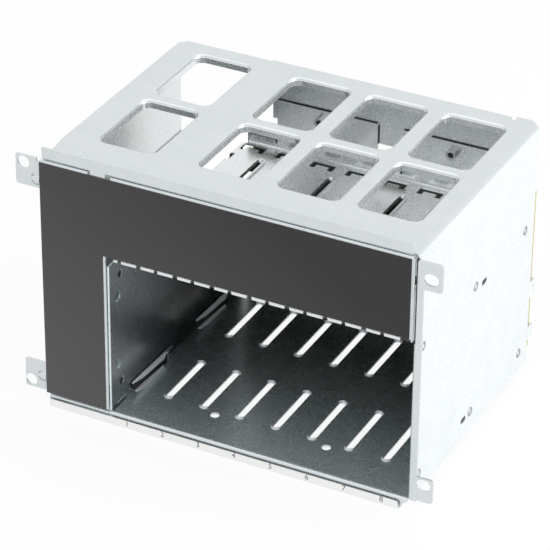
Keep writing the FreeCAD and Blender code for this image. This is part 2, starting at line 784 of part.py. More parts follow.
def make_front_plate():
    body = new_body("front_plate")
    face = new_sketch(body, "Face", "front", "0")
    gap_foot = "tab_foot - screw_play"
    outline(face, [("0", "0"), ("plate_opening_left", "0"),
                   ("plate_opening_left", "opening_top"),
                   ("plate_right", "opening_top"), ("plate_right", "top_under"),
                   ("plate_tab_gap_right", "top_under"), ("plate_tab_gap_right", gap_foot),
                   ("plate_tab_gap_left", gap_foot), ("plate_tab_gap_left", "top_under"),
                   ("0", "top_under")])
    pad(body, face, "gauge")
    flange = new_sketch(body, "TopFlange", "top", "top_under - gauge")
    box(flange, "plate_flange_left", "gauge / 2", "plate_tab_gap_left", "plate_flange_depth")
    box(flange, "plate_tab_gap_right", "gauge / 2", "plate_flange_right", "plate_flange_depth")
    pad(body, flange, "gauge")
    bend(body, "TopEdge", "X", [("0", "top_under")], "gauge * 0.9")
    return body


def make_front_fascia():
    body = new_body("front_fascia")
    face = new_sketch(body, "Film", "front", "-film")
    outline(face, [("0", "0"), ("film_opening_left", "0"),
                   ("film_opening_left", "opening_top"), ("film_right", "opening_top"),
                   ("film_right", "film_top"), ("0", "film_top")])
    pad(body, face, "film")
    return body


def make_hem(body):
    lip = new_sketch(body, "Lip", "front", "0")
    outline(lip, [("lip_left", "-lip_drop"), ("lip_right - lip_slant", "-lip_drop"),
                  ("lip_right", "floor_upper"), ("lip_left", "floor_upper")])
    pad(body, lip, "gauge")
    apron = new_sketch(body, "LipBend", "side", "lip_left")
    outline(apron, [("0", "floor_under - bend_inside"), ("0", "floor_upper"),
                    ("floor_side_front", "floor_upper"), ("floor_side_front", "floor_under"),
                    ("gauge", "floor_under"), ("gauge", "floor_under - bend_inside")])
    pad(body, apron, "lip_right - lip_left")
    bend(body, "LipOutside", "X", [("0", "floor_upper")], "bend_outside")
    bend(body, "LipInside", "X", [("gauge", "floor_under")], "bend_inside")
    leaf = new_sketch(body, "LabelLeaf", "side", "leaf_left")
    leaf_front = "-leaf_gap - gauge"
    outline(leaf, [("gauge", "-lip_drop"), (leaf_front, "-lip_drop"), (leaf_front, "-leaf_top"),
                   ("-leaf_gap", "-leaf_top"), ("-leaf_gap", "gauge - lip_drop"),
                   ("0", "gauge - lip_drop"), ("gauge", "gauge - lip_drop")])
    pad(body, leaf, "leaf_right - leaf_left")
    bend(body, "HemRound", "X", [(leaf_front, "-lip_drop"), ("gauge", "-lip_drop")], "gauge")
    bend(body, "LeafCorner", "Y", [("leaf_right", "-leaf_top")], "leaf_corner")


def make_base_plate():
    body = new_body("base_plate")
    tray = new_sketch(body, "Tray", "front", "floor_side_front")
    outline(tray, [("gauge", "floor_side_height"), ("gauge", "floor_under"),
                   ("wall_inner", "floor_under"), ("wall_inner", "floor_side_height"),
                   ("wall_inner - gauge", "floor_side_height"),
                   ("wall_inner - gauge", "floor_upper"), ("gauge * 2", "floor_upper"),
                   ("gauge * 2", "floor_side_height")])
    pad(body, tray, "side_back - floor_side_front")
    bend(body, "TrayOutside", "Y", [("gauge", "floor_under"), ("wall_inner", "floor_under")],
         "tight_outside")
    bend(body, "TrayInside", "Y", [("gauge * 2", "floor_upper"), ("wall_inner - gauge", "floor_upper")],
         "tight_inside")
    make_hem(body)
    make_floor_back(body)
    cut_floor(body)
    return body


def make_floor_back(body):
    foot_face = "rear_plane - gauge"
    rear = new_sketch(body, "RearFloor", "top", "floor_under")
    box(rear, "floor_foot_left", "side_back - gauge", "floor_foot_right", "wall_back")
    pad(body, rear, "gauge")
    foot = new_sketch(body, "RearFoot", "side", "floor_foot_left")
    outline(foot, [("wall_back - gauge", "floor_under"), (foot_face + " - gauge", "floor_under"),
                   (foot_face + " - gauge", "-lip_drop"), (foot_face, "-lip_drop"),
                   (foot_face, "floor_upper"), ("wall_back - gauge", "floor_upper")])
    pad(body, foot, "floor_foot_right - floor_foot_left")
    bend(body, "FootOutside", "X", [(foot_face, "floor_upper")], "tight_outside")
    bend(body, "FootInside", "X", [(foot_face + " - gauge", "floor_under")], "tight_inside")
    gaps = new_sketch(body, "TabGaps", "top", "-lip_drop")
    tabs = new_sketch(body, "TabRise", "side", "floor_tab_first")
    for i in range(2):
        left = "floor_tab_first + floor_tab_pitch * %d - gauge * 2" % i
        box(gaps, left, "wall_back - gauge", left + " + floor_tab_width + gauge * 4",
            "apron_back")
    cut(body, gaps, "lip_drop")
    outline(tabs, [("wall_back - gauge * 2", "floor_under"), ("rear_plane", "floor_under"),
                   ("rear_plane", "floor_tab_top"), (foot_face, "floor_tab_top"),
                   (foot_face, "floor_upper"), ("wall_back - gauge * 2", "floor_upper")])
    rise = pad(body, tabs, "floor_tab_width")
    repeat(body, "Tabs", [rise], "X_Axis", "floor_tab_pitch", "2")
    bend(body, "TabOutside", "X", [("rear_plane", "floor_under")], "bend_outside")
    bend(body, "TabInside", "X", [(foot_face, "floor_upper")], "bend_inside")


def slot_at(sketch, half):
    middle = "slot_front + slot_length / 2"
    chorded(sketch, "first_slot", middle, "slot_length - slot_half * 2", half)


def cut_floor(body):
    opening = new_sketch(body, "FloorSlot", "top", "floor_under")
    slot_at(opening, "slot_half")
    hollow = cut(body, opening, "gauge")
    rows = ("slot_row_pitch", "2")
    repeat_both_ways(body, "FloorSlots", [hollow], ("bay_pitch", "bay_count"), rows)
    level = number("floor_upper")
    right = number("wall_inner - gauge * 2")
    front = number("slot_front - gauge")
    back = number("slot_front + slot_length + slot_row_pitch + gauge")
    dress(body, "Chamfer", "SlotEdges", "slot_edge",
          lambda edge: flat_ring(edge, level, number("gauge * 4"), right)
          and edge.BoundBox.YMin > front and edge.BoundBox.YMax < back)
    holes = new_sketch(body, "FloorHoles", "top", "floor_under")
    for across in ("floor_hole_first", "floor_hole_second"):
        circle(holes, across, "floor_hole_y", "floor_hole_radius")
    cut(body, holes, "gauge")


# one tooth reaches forwards from the shelf's edge, slanted at its left end
def tooth(body, name, middle, left, right):
    sketch = new_sketch(body, name, "top", "shelf_under + tooth_rise")
    near = "%s - %s" % (middle, left) if name == "WideTooth" else "%s + %s" % (middle, left)
    far = "%s + %s" % (middle, right)
    root = "shelf_front + gauge / 2"
    outline(sketch, [(near + " - tooth_slant", "shelf_front"), (near, "tooth_front"),
                     (far, "tooth_front"), (far, root), (near + " - tooth_slant", root)])
    return pad(body, sketch, "gauge")


def make_teeth(body):
    wide = tooth(body, "WideTooth", "first_bay", "wide_tooth_left", "wide_tooth_right")
    repeat(body, "WideTeeth", [wide], "X_Axis", "bay_pitch", "bay_count")
    narrow = tooth(body, "NarrowTooth", "first_bay", "narrow_tooth_left", "narrow_tooth_right")
    repeat(body, "NarrowTeeth", [narrow], "X_Axis", "bay_pitch", "bay_count - 1")
    short = new_sketch(body, "ShortTooth", "top", "shelf_under + tooth_rise")
    box(short, "guide_wall + bend_outside", "tooth_front",
        "first_bay - bay_pitch + narrow_tooth_right", "shelf_front + gauge / 2")
    pad(body, short, "gauge")


# a long opening at the foot of the wall between two proud lips, one for each row of slots
def make_guide_openings(body):
    back = "slot_front + slot_length"
    opening = new_sketch(body, "GuideOpening", "side", "guide_wall")
    outline(opening, [("slot_front", "guide_cut_low"), (back + " - gauge * 2", "guide_cut_low"),
                      (back, "guide_cut_high"), ("slot_front + gauge * 2", "guide_cut_high")])
    opening_cut = cut(body, opening, "gauge")
    repeat(body, "GuideOpenings", [opening_cut], "Y_Axis", "slot_row_pitch", "2")
    doc.recompute()
    lips = new_sketch(body, "GuideLips", "side", "guide_wall + gauge / 2")
    upper = "guide_cut_high + guide_lip_height"
    outline(lips, [("slot_front + gauge * 2", "guide_cut_high"), (back, "guide_cut_high"),
                   (back + " - gauge", upper), ("slot_front + gauge * 3", upper)])
    outline(lips, [("slot_front", "floor_upper"), (back + " - gauge * 3", "floor_upper"),
                   (back + " - gauge * 2", "guide_cut_low"), ("slot_front", "guide_cut_low")])
    lip_pad = pad(body, lips, "gauge / 2 + guide_lip_out")
    repeat(body, "GuideLipRows", [lip_pad], "Y_Axis", "slot_row_pitch", "2")


def make_guide_wall(body):
    wall = new_sketch(body, "GuideWall", "side", "guide_wall")
    fold_foot = "shelf_upper - bend_outside"
    box(wall, "gauge", "floor_upper", "guide_wall_back", fold_foot)
    pad(body, wall, "gauge")
    fold = new_sketch(body, "GuideFold", "front", "shelf_front")
    inner = "guide_wall + gauge"
    outline(fold, [("guide_wall", fold_foot), (inner, fold_foot), (inner, "shelf_under"),
                   ("guide_wall + bend_outside", "shelf_under"),
                   ("guide_wall + bend_outside", "shelf_upper"), ("guide_wall", "shelf_upper")])
    pad(body, fold, "guide_wall_back - shelf_front")
    bend(body, "GuideOutside", "Y", [("guide_wall", "shelf_upper")], "bend_outside")
    bend(body, "GuideInside", "Y", [(inner, "shelf_under")], "bend_inside")
    gap = new_sketch(body, "GuideBendGap", "top", fold_foot + " - gauge")
    box(gap, "guide_wall - gauge", "guide_bend_gap_front", "guide_wall + bend_inside + gauge * 2",
        "guide_bend_gap_back")
    cut(body, gap, "gauge * 5")
    make_guide_openings(body)
    holes = new_sketch(body, "GuideHoles", "side", "guide_wall")
    for height in ("shelf_under - guide_hole_drop", "guide_hole_low"):
        circle(holes, "guide_hole_y", height, "guide_hole_radius")
    for height in ("shelf_under - guide_slot_drop", "guide_slot_low"):
        obround(holes, "guide_slot_y", height, "gauge", "guide_slot_radius", True)
    obround(holes, "guide_hole_y", "guide_sill", "guide_sill_run", "gauge / 2", False)
    cut(body, holes, "gauge")
    feet = new_sketch(body, "GuideFeet", "top", "floor_upper")
    left = "guide_wall - guide_foot_width"
    box(feet, left, "slot_front + slot_length + gauge * 3", "guide_wall + gauge / 2",
        "slot_front + slot_row_pitch - gauge * 3")
    box(feet, left, "guide_wall_back - gauge * 9", "guide_wall + gauge / 2", "guide_wall_back")
    pad(body, feet, "gauge")


def make_shelf_back(body):
    fold = new_sketch(body, "RearFold", "side", "shelf_rear_left")
    front = "guide_wall_back - gauge * 2"
    inner = "rear_plane - gauge"
    outline(fold, [(front, "shelf_under"), ("rear_plane", "shelf_under"),
                   ("rear_plane", "shelf_rear_top"), (inner, "shelf_rear_top"),
                   (inner, "shelf_upper"), (front, "shelf_upper")])
    pad(body, fold, "shelf_rear_right - shelf_rear_left")
    bend(body, "RearOutside", "X", [("rear_plane", "shelf_under")], "bend_outside")
    bend(body, "RearInside", "X", [(inner, "shelf_upper")], "bend_inside")
    tab = new_sketch(body, "RearTab", "front", inner)
    right = "rear_tab_first + rear_tab_width"
    step = "rear_tab_first - rear_tab_step"
    outline(tab, [("rear_tab_first", "shelf_rear_top - gauge / 2"),
                  (right, "shelf_rear_top - gauge / 2"), (right, "rear_tab_top - gauge"),
                  (right + " - gauge", "rear_tab_top"), (step, "rear_tab_top"),
                  (step, "rear_tab_step_foot + gauge"), ("rear_tab_first", "rear_tab_step_foot")])
    tab_pad = pad(body, tab, "gauge")
    hole = new_sketch(body, "RearTabHole", "front", inner)
    circle(hole, "nut_first_x", "nut_z", "screw_radius + screw_play")
    hole_cut = cut(body, hole, "gauge")
    repeat(body, "RearTabs", [tab_pad, hole_cut], "X_Axis", "rear_tab_pitch", "2")
    notches = new_sketch(body, "FootNotches", "front", inner)
    for across in ("rear_tab_first - gauge", "rear_tab_first + rear_tab_pitch - gauge * 3"):
        box(notches, across, "shelf_rear_top - gauge * 1.6", across + " + gauge",
            "shelf_rear_top + gauge * 3")
    cut(body, notches, "gauge")


def cut_shelf(body):
    rim = new_sketch(body, "ShelfRim", "top", "shelf_under + gauge / 2")
    middle = "slot_front + slot_length / 2"
    run = "slot_length - slot_half * 2"
    chorded(rim, "first_slot", middle, run, "slot_half + slot_rim")
    rim_pad = pad(body, rim, "gauge / 2 + slot_rim_height")
    opening = new_sketch(body, "ShelfSlot", "top", "shelf_under")
    chorded(opening, "first_slot", middle, run, "slot_half")
    hollow = cut(body, opening, "gauge + slot_rim_height")
    rows = ("slot_row_pitch", "2")
    repeat_both_ways(body, "ShelfSlots", [rim_pad, hollow], ("bay_pitch", "bay_count - 1"), rows)
    vent = new_sketch(body, "Vent", "top", "shelf_under")
    left = "first_bay - vent_width / 2"
    right = "first_bay + vent_width / 2"
    bar = "vent_back - vent_bar"
    outline(vent, [(left, "vent_front"), (left + " + vent_leg", "vent_front"),
                   (left + " + vent_leg", bar), (right + " - vent_leg", bar),
                   (right + " - vent_leg", "vent_front"), (right, "vent_front"),
                   (right, "vent_back"), (left, "vent_back")])
    vent_cut = cut(body, vent, "gauge")
    repeat(body, "Vents", [vent_cut], "X_Axis", "bay_pitch", "bay_count")


def make_bay_shelf():
    body = new_body("bay_shelf")
    fold_left = "guide_wall + bend_outside"
    fold_right = "wall_inner - tight_outside"
    ceiling = new_sketch(body, "Ceiling", "top", "shelf_under")
    box(ceiling, fold_left, "shelf_front", fold_right, "guide_wall_back")
    pad(body, ceiling, "gauge")
    side = new_sketch(body, "RightFold", "front", "shelf_front")
    inner = "wall_inner - gauge"
    outline(side, [(fold_right, "shelf_under"), (inner, "shelf_under"), (inner, "shelf_side_foot"),
                   ("wall_inner", "shelf_side_foot"), ("wall_inner", "shelf_upper"),
                   (fold_right, "shelf_upper")])
    pad(body, side, "side_back - shelf_front")
    bend(body, "RightOutside", "Y", [("wall_inner", "shelf_upper")], "tight_inside + gauge * 0.99")
    bend(body, "RightInside", "Y", [(inner, "shelf_under")], "tight_inside * 0.99")
    make_teeth(body)
    make_guide_wall(body)
    make_shelf_back(body)
    cut_shelf(body)
    return body


def make_board():
    body = new_body("backplane_board")
    face = new_sketch(body, "Board", "front", "rear_plane")
    left = "board_left"
    corners = [(left, "board_foot"), ("board_right", "board_foot")]
    corners += [("board_right", "board_top"), (left, "board_top")]
    for notch in ("board_notch_high", "board_notch_low"):
        head = "%s + %s_height" % (notch, notch)
        deep = "board_left + %s_depth" % notch
        corners += [(left, head), (deep, head), (deep, notch), (left, notch)]
    outline(face, corners)
    pad(body, face, "board_thickness")
    return body


def make_drive_connector(index):
    body = new_body("drive_connector_%d" % (index + 1))
    centre = "first_bay + bay_pitch * %d" % index
    left = centre + " - connector_width / 2"
    right = centre + " + connector_width / 2"
    foot = "connector_centre - connector_height / 2"
    top = "connector_centre + connector_height / 2"
    front = "rear_plane - connector_depth"
    block = new_sketch(body, "Block%d" % index, "front", front)
    outline(block, [(left, foot), (right, foot), (right, top + " - key_height"),
                    (right + " - key_width", top + " - key_height"),
                    (right + " - key_width", top), (left, top)])
    pad(body, block, "connector_depth")
    mouth = new_sketch(body, "Mouth%d" % index, "front", front)
    mouth_left = centre + " - mouth_width / 2"
    mouth_right = centre + " + mouth_width / 2"
    low = "connector_centre - mouth_height / 2"
    high = "connector_centre + mouth_height / 2"
    box(mouth, mouth_left, low, centre + " - tongue_width / 2", high)
    box(mouth, centre + " + tongue_width / 2", low, mouth_right, high)
    cut(body, mouth, "mouth_depth")
    return body


def make_receptacle(index):
    body = new_body("signal_receptacle_%d" % (index + 1))
    left = "receptacle_first + receptacle_pitch * %d" % index
    back = "rear_plane + board_thickness"
    block = new_sketch(body, "Cage%d" % index, "front", back)
    rounded(block, left, "receptacle_foot", left + " + receptacle_width",
            "receptacle_foot + receptacle_height", "shell_wall")
    pad(body, block, "receptacle_depth")
    mouth = new_sketch(body, "CageMouth%d" % index, "front", back + " + shell_wall")
    inner = left + " + shell_wall"
    far = left + " + receptacle_width - shell_wall"
    low = "receptacle_foot + shell_wall"
    high = "receptacle_foot + receptacle_height - shell_wall"
    half = "receptacle_foot + receptacle_height / 2"
    box(mouth, inner, low, far, half + " - shell_wall / 2")
    box(mouth, inner, half + " + shell_wall / 2", far, high)
    cut(body, mouth, "receptacle_depth - shell_wall")
    return body


def make_header():
    body = new_body("power_header")
    back = "rear_plane + board_thickness"
    right = "header_left + header_width"
    top = "header_foot + header_height"
    block = new_sketch(body, "Header", "front", back)
    rounded(block, "header_left", "header_foot", right, top, "shell_wall / 2")
    pad(body, block, "header_depth")
    wells = new_sketch(body, "HeaderWell", "front", back + " + shell_wall * 2")
    box(wells, "header_left + shell_wall", "header_foot + shell_wall",
        right + " - shell_wall", top + " - shell_wall")
    cut(body, wells, "header_depth - shell_wall * 2")
    pins = new_sketch(body, "HeaderPins", "front", back + " + shell_wall")
    for i in range(4):
        middle = "header_left + header_pin_first + header_pin_pitch * %d" % i
        box(pins, middle + " - shell_wall / 2", "header_foot + header_height / 2 - shell_wall / 2",
            middle + " + shell_wall / 2", "header_foot + header_height / 2 + shell_wall / 2")
    pad(body, pins, "header_depth - shell_wall * 2")
    return body


def make_chip():
    body = new_body("controller_chip")
    back = "rear_plane + board_thickness"
    block = new_sketch(body, "Chip", "front", back)
    box(block, "chip_left", "chip_foot", "chip_left + chip_side", "chip_foot + chip_side")
    pad(body, block, "chip_height")
    return body


# turned pieces are plain Part solids: each is a shank and a head on one axis
def turned(name, axis, place, radius, length):
    solid = doc.addObject("Part::Cylinder", name)
    solid.setExpression("Radius", bound(radius))
    solid.setExpression("Height", bound(length))
    lay(solid, axis, place)
    return solid


def lay(solid, axis, place):
    turn = {"Y": FreeCAD.Rotation(FreeCAD.Vector(1, 0, 0), -90),
            "X": FreeCAD.Rotation(FreeCAD.Vector(0, 1, 0), 90),
            "Z": FreeCAD.Rotation()}[axis]
    solid.Placement = FreeCAD.Placement(FreeCAD.Vector(), turn)
    for letter, text in zip("xyz", place):
        solid.setExpression("Placement.Base." + letter, bound(text))


def joined(label, solids):
    whole = doc.addObject("Part::Compound", label)
    whole.Links = solids
    whole.Label = label
    seat(whole)
    return whole


def make_clinch_nuts():
    solids = []
    for i in range(2):
        across = "nut_first_x + rear_tab_pitch * %d" % i
        place = (across, "rear_plane - gauge - nut_length", "nut_z")
        outer = turned("NutBody%d" % i, "Y", place, "nut_radius", "nut_length")
        bore = turned("NutBore%d" % i, "Y", place, "screw_radius", "nut_length")
        ring = doc.addObject("Part::Cut", "Nut%d" % i)
        ring.Base = outer
        ring.Tool = bore
        solids.append(ring)
    return joined("clinch_nuts", solids)


def hexagon(name, place):
    head = doc.addObject("Part::Prism", name)
    head.Polygon = 6
    head.setExpression("Circumradius", bound("screw_head_radius"))
    head.setExpression("Height", bound("screw_head_height"))
    lay(head, "Y", place)
    return head


def screw(name, across, seat_face, height, reach):
    shank_place = (across, "%s - (%s)" % (seat_face, reach), height)
    shank = turned(name + "Shank", "Y", shank_place, "screw_radius", reach)
    head = hexagon(name + "Head", (across, seat_face, height))
    whole = doc.addObject("Part::MultiFuse", name)
    whole.Shapes = [shank, head]
    return whole


def make_cover_screws():
    solids = []
    for i in range(2):
        across = "nut_first_x + rear_tab_pitch * %d" % i
        solids.append(screw("CoverScrew%d" % i, across, "apron_back", "nut_z",
                            "gauge * 2 + nut_length"))
    return joined("cover_screws", solids)


def make_board_screws():
    solids = []
    face = "rear_plane + board_thickness"
    for i in range(2):
        high = "rear_tab_first + rear_tab_pitch * %d + board_screw_inset" % i
        low = "floor_tab_first + floor_tab_pitch * %d + board_screw_inset" % i
        solids.append(hexagon("HighScrew%d" % i, (high, face, "board_screw_high")))
        solids.append(hexagon("LowScrew%d" % i, (low, face, "board_screw_low")))
    return joined("backplane_screws", solids)


make_outer_shell()
make_left_side_panel()
make_front_plate()
make_front_fascia()
make_base_plate()
make_bay_shelf()
make_board()
for bay in range(int(number("bay_count"))):
    make_drive_connector(bay)
for side in range(2):
    make_receptacle(side)
make_header()
make_chip()
make_clinch_nuts()
make_cover_screws()
make_board_screws()

doc.recompute()
for thing in doc.Objects:
    for word in thing.State:
        if "Invalid" in word or "Error" in word:
            raise ValueError("%s did not build" % thing.Label)
for part in sub_parts:
    if part.Shape.isNull() or not part.Shape.isValid():
        raise ValueError("%s has no valid shape" % part.Label)
os.makedirs("parts", exist_ok=True)
for part in sub_parts:
    part.Shape.exportStep("parts/%s.step" % part.Label)
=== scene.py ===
import bpy
import json
import math
import numpy as np
from mathutils import Matrix, Vector


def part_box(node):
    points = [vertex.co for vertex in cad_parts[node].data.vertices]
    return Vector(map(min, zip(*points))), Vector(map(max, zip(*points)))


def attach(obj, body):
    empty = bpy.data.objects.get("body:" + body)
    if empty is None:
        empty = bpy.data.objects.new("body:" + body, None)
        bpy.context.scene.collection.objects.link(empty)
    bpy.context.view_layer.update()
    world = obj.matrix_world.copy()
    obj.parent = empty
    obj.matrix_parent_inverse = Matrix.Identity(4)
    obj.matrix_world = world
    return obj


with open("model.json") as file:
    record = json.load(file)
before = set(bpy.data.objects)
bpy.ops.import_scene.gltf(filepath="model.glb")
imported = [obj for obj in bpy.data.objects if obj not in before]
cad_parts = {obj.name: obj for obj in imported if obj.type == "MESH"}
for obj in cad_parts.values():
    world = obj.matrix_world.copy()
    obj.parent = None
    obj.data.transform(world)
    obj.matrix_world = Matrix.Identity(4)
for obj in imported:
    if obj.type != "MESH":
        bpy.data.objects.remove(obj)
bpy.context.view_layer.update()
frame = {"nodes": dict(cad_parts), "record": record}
nodes = frame["nodes"]
print("cage loaded:", len(nodes), "nodes")

# lower left front corner of the black fascia, from which every place is given in millimetres
fasciaLow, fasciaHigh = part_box("front_fascia")
corner = Vector((fasciaLow.x, fasciaHigh.y, fasciaLow.z))
metre = 0.001


def place(x, y, z):
    # the corner plus the millimetres turned into metres
    return corner + Vector((x, y, z)) * metre


class Sock:
    # wraps one output socket of a node tree, so that shader maths reads as plain sums
    def __init__(self, tree, socket):
        self.tree = tree
        self.socket = socket

    def math(self, operation, first, second):
        return makeNode(self.tree, "ShaderNodeMath", {"operation": operation}, [first, second])

    def __add__(self, other):
        return self.math("ADD", self, other)

    def __sub__(self, other):
        return self.math("SUBTRACT", self, other)

    def __rsub__(self, other):
        return self.math("SUBTRACT", other, self)

    def __mul__(self, other):
        return self.math("MULTIPLY", self, other)

    def __truediv__(self, other):
        return self.math("DIVIDE", self, other)

    def __gt__(self, other):
        return self.math("GREATER_THAN", self, other)

    def __lt__(self, other):
        return self.math("LESS_THAN", self, other)

    def size(self):
        return self.math("ABSOLUTE", self, None)

    def clamp(self):
        return makeNode(self.tree, "ShaderNodeClamp", {}, [self])

    __radd__ = __add__


def makeNode(tree, kind, settings=None, values=(), output=0):
    # a node with its settings and inputs filled, given back as one of its outputs
    node = tree.nodes.new(kind)
    for name, value in (settings or {}).items():
        setattr(node, name, value)
    pairs = values.items() if isinstance(values, dict) else enumerate(values)
    for key, value in pairs:
        if isinstance(value, Sock):
            tree.links.new(value.socket, node.inputs[key])
        elif value is not None:
            node.inputs[key].default_value = value
    return Sock(tree, node.outputs[output])


def blendColour(tree, factor, first, second):
    # first times (1 - factor) plus second times factor
    pick = [value if isinstance(value, Sock) else (*value, 1) for value in (first, second)]
    return makeNode(tree, "ShaderNodeMix", {"data_type": "RGBA"},
                    {0: factor, 6: pick[0], 7: pick[1]}, 2)


def newMaterial(name):
    # a new material, its node tree and its main shader
    material = bpy.data.materials.new(name)
    material.use_nodes = True
    tree = material.node_tree
    return material, tree, tree.nodes["Principled BSDF"]


def feed(tree, shader, sockets):
    # links each varying value to the shader's input of that name, and sets the plain ones
    for name, value in sockets.items():
        if isinstance(value, Sock):
            tree.links.new(value.socket, shader.inputs[name])
        else:
            shader.inputs[name].default_value = value


def objectPoint(tree):
    # the point's place on the object, in metres
    return makeNode(tree, "ShaderNodeTexCoord", output=3)


def separate(tree, vector):
    # the vector's x, y and z
    return [makeNode(tree, "ShaderNodeSeparateXYZ", values=[vector], output=i) for i in range(3)]


def noise(tree, point, scale, detail=3.0, rough=0.5):
    # smooth noise about 0.5, with scale waves to the metre
    return makeNode(tree, "ShaderNodeTexNoise", values={"Vector": point, "Scale": scale,
                    "Detail": detail, "Roughness": rough})


def bump(tree, height, strength):
    # tilts the surface by the slope of the height, a fifth of a millimetre deep at most
    return makeNode(tree, "ShaderNodeBump", values={"Strength": strength, "Distance": 0.0002,
                    "Height": height})


# the zinc's look: the bay, bayDeep, wall, wallDeep, cable, slit and earHoles colours and the dark gap
# colour are painted shade, the rims and upper colours painted light
zincLook = {"colour": (0.70, 0.735, 0.75), "shade": (0.60, 0.635, 0.655), "speck": (0.30, 0.33, 0.34),
            "metallic": 0.82, "roughness": 0.27, "mottle": 90.0, "speckle": 620.0, "grain": 1400.0,
            "shadeFrom": 0.35, "speckFrom": 0.60, "speckGain": 5, "speckShare": 0.08,
            "roughMottle": 0.12, "roughGrain": 0.06, "grainDepth": 0.06,
            "gapShade": (0.035, 0.037, 0.04), "bay": (0.88, 0.98, 1.0), "bayDeep": (0.24, 0.26, 0.26),
            "wall": (0.50, 0.53, 0.54), "wallDeep": (0.07, 0.075, 0.08), "cable": (0.10, 0.11, 0.12),
            "rims": (0.95, 0.96, 0.97), "slit": (0.10, 0.105, 0.11), "earHoles": (0.40, 0.41, 0.42),
            "upper": (0.84, 0.86, 0.87), "label": (0.90, 0.91, 0.90)}
# where the zinc takes another colour, each from one corner to the opposite one in millimetres
# bay, cable, wall, slit and earHoles are painted shade; rims and upper are painted light; label is the
# lip's paler label strip
regions = {"bay": ((0.9, 0.9, -0.95), (170.4, 124.5, 71.25)),
           "cable": ((0.9, 4.0, -1.0), (30.55, 18.0, 71.0)),
           "wall": ((31.3, 0.9, -0.85), (32.3, 124.5, 71.25)),
           "rims": ((40.0, 18.0, -0.8), (170.0, 112.0, 0.1)),
           "slit": ((170.38, -0.1, 74.0), (171.5, 3.0, 112.4)),
           "earHoles": ((174.3, 0.08, 7.0), (181.3, 0.82, 108.5)),
           "upper": ((0.9, 2.0, 72.1), (170.4, 124.6, 113.65)),
           "label": ((0, -2.0, -6.1), (171, -1.5, -1.8))}
# painted shade: how the bay darkens, from where and over what length towards its back, and down its left
# wall
darken = {"front": 8, "deep": 0.085, "high": 55, "fall": 0.09, "wallDeep": 1.1, "wallFoot": 0.55}
# the right side's outer face is made less metallic so that it renders whiter, painted light, and the
# slots' rims are less metallic, painted highlight
paintedLight = {"box": ((171.2, 1.0, -7.0), (171.5, 126.0, 115.0)), "loss": 0.55, "rimLoss": 0.8}
# the dark specks are plainer on the rear apron
rearSpecks = {"box": ((30, 123, 60), (170, 126, 113)), "share": 0.75}
# painted shade: dark boxes for the gaps between lapped sheets, the shelf's front edge, the guide wall's
# foot and the metal behind the right side's sight holes, each from one corner to the opposite one in
# millimetres
rearTab = {"left": 45.4, "right": 96.3, "pitch": 62.9, "front": 123.2, "back": 124.6,
           "foot": 86.2, "top": 96.1, "gap": 0.3, "lap": 0.1, "count": 2}
shelfEdge = ((33.0, 4.9, 71.0), (169.0, 5.1, 72.3))
wallFoot = ((31.5, 2.0, -0.95), (31.7, 13.0, 0.9))
sightHoles = [((170.3, 67.0, 65.0), (170.4, 71.6, 67.8)), ((170.3, 51.1, 5.5), (170.4, 55.7, 8.3))]


def paintedGapShades():
    # the single painted-shade boxes, then a painted shadow along the top and one down the right of each
    # rear tab
    gapShades = [shelfEdge, wallFoot, *sightHoles]
    for i in range(rearTab["count"]):
        left = rearTab["left"] + rearTab["pitch"] * i
        right = rearTab["right"] + rearTab["pitch"] * i
        gapShades.append(((left, rearTab["front"], rearTab["top"] - rearTab["lap"]),
                      (right + rearTab["gap"], rearTab["back"], rearTab["top"] + rearTab["gap"])))
        gapShades.append(((right - rearTab["lap"], rearTab["front"], rearTab["foot"]),
                      (right + rearTab["gap"], rearTab["back"], rearTab["top"])))
    return gapShades


def insideBox(axes, low, high):
    # product over the three axes of (value > low) * (value < high)
    inside = None
    for value, start, end in zip(axes, place(*low), place(*high)):
        part = (value > start) * (value < end)
        inside = part if inside is None else inside * part
    return inside


